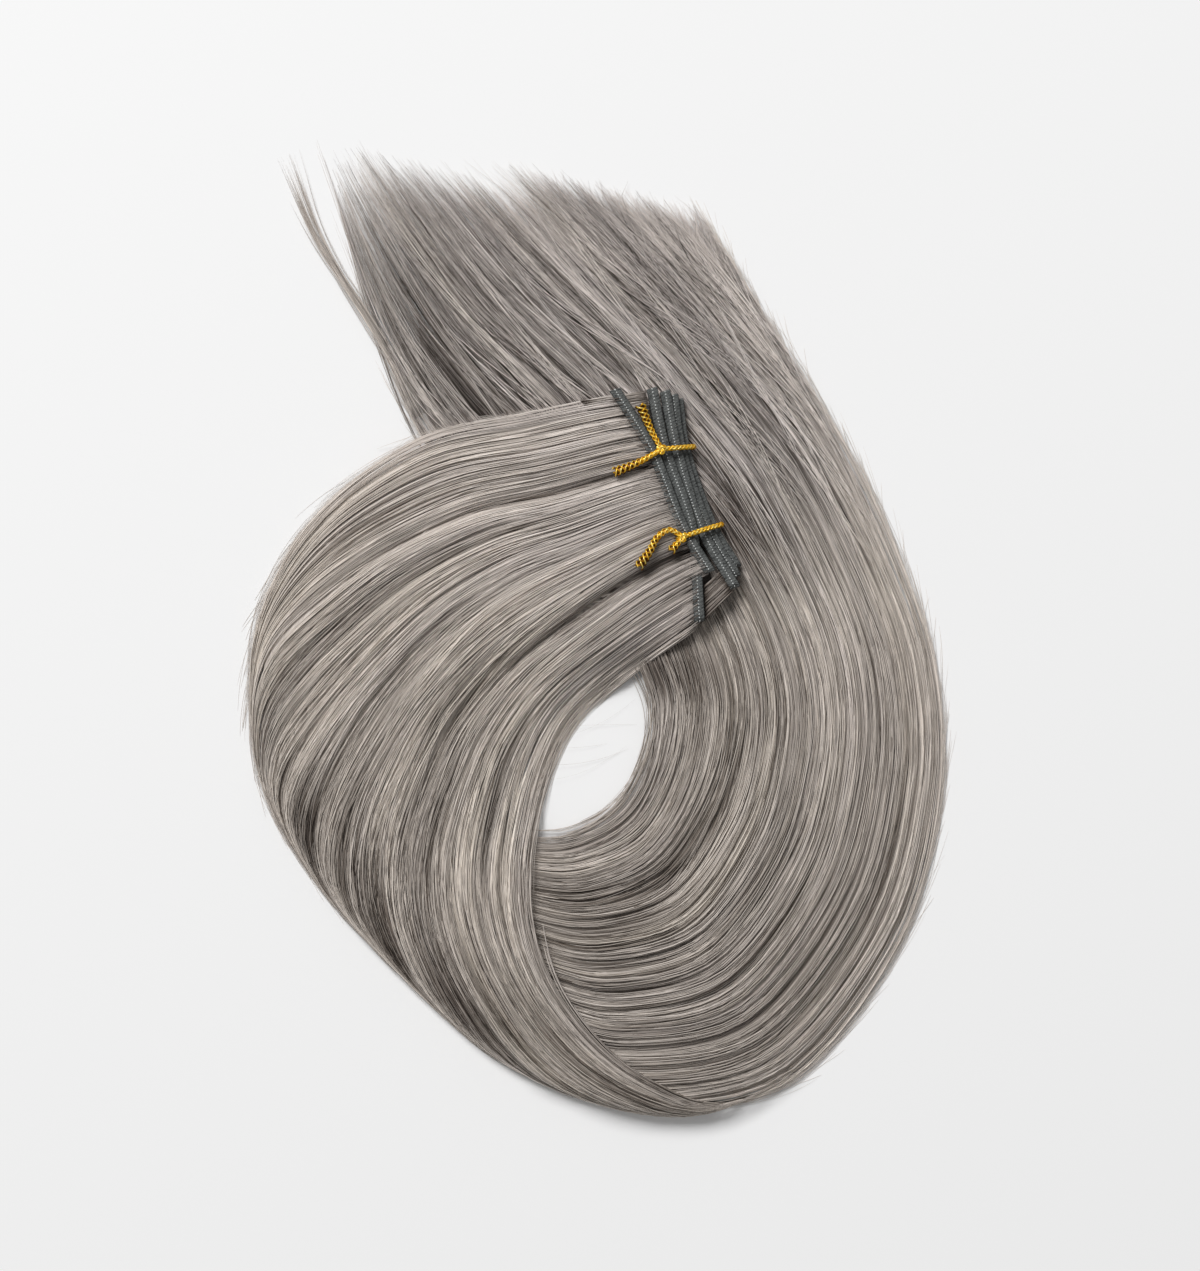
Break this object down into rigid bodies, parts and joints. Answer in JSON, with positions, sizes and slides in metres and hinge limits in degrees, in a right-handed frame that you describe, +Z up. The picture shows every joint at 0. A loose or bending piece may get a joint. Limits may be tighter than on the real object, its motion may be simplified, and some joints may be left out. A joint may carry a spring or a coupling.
{
  "type": "hair weft",
  "caption": "Straight hair sewn to folded tracks, wound into one flat coil with cut tips and tied with two elastic cords.",
  "frame": {"origin": "middle of the coil's box in plan, on the surface that it lies on", "axes": "+Z up from that surface, +Y towards the cut tips, +X towards the side of the coil that the tracks do not cover"},
  "size_m": [0.2089, 0.2896, 0.0181],
  "materials": {
    "hair": "straight silver-taupe hair with a soft sheen",
    "track": "dark grey stitched thread with a pale stitch line",
    "gold_cord": "gold metallic elastic cord, braided, with frayed ends"
  },
  "bodies": {
    "root": {"lower_hair": "hair", "upper_hair": "hair", "top_track": "track", "folded_track": "track", "upper_tie": "gold_cord", "lower_tie": "gold_cord"}
  },
  "joints": []
}
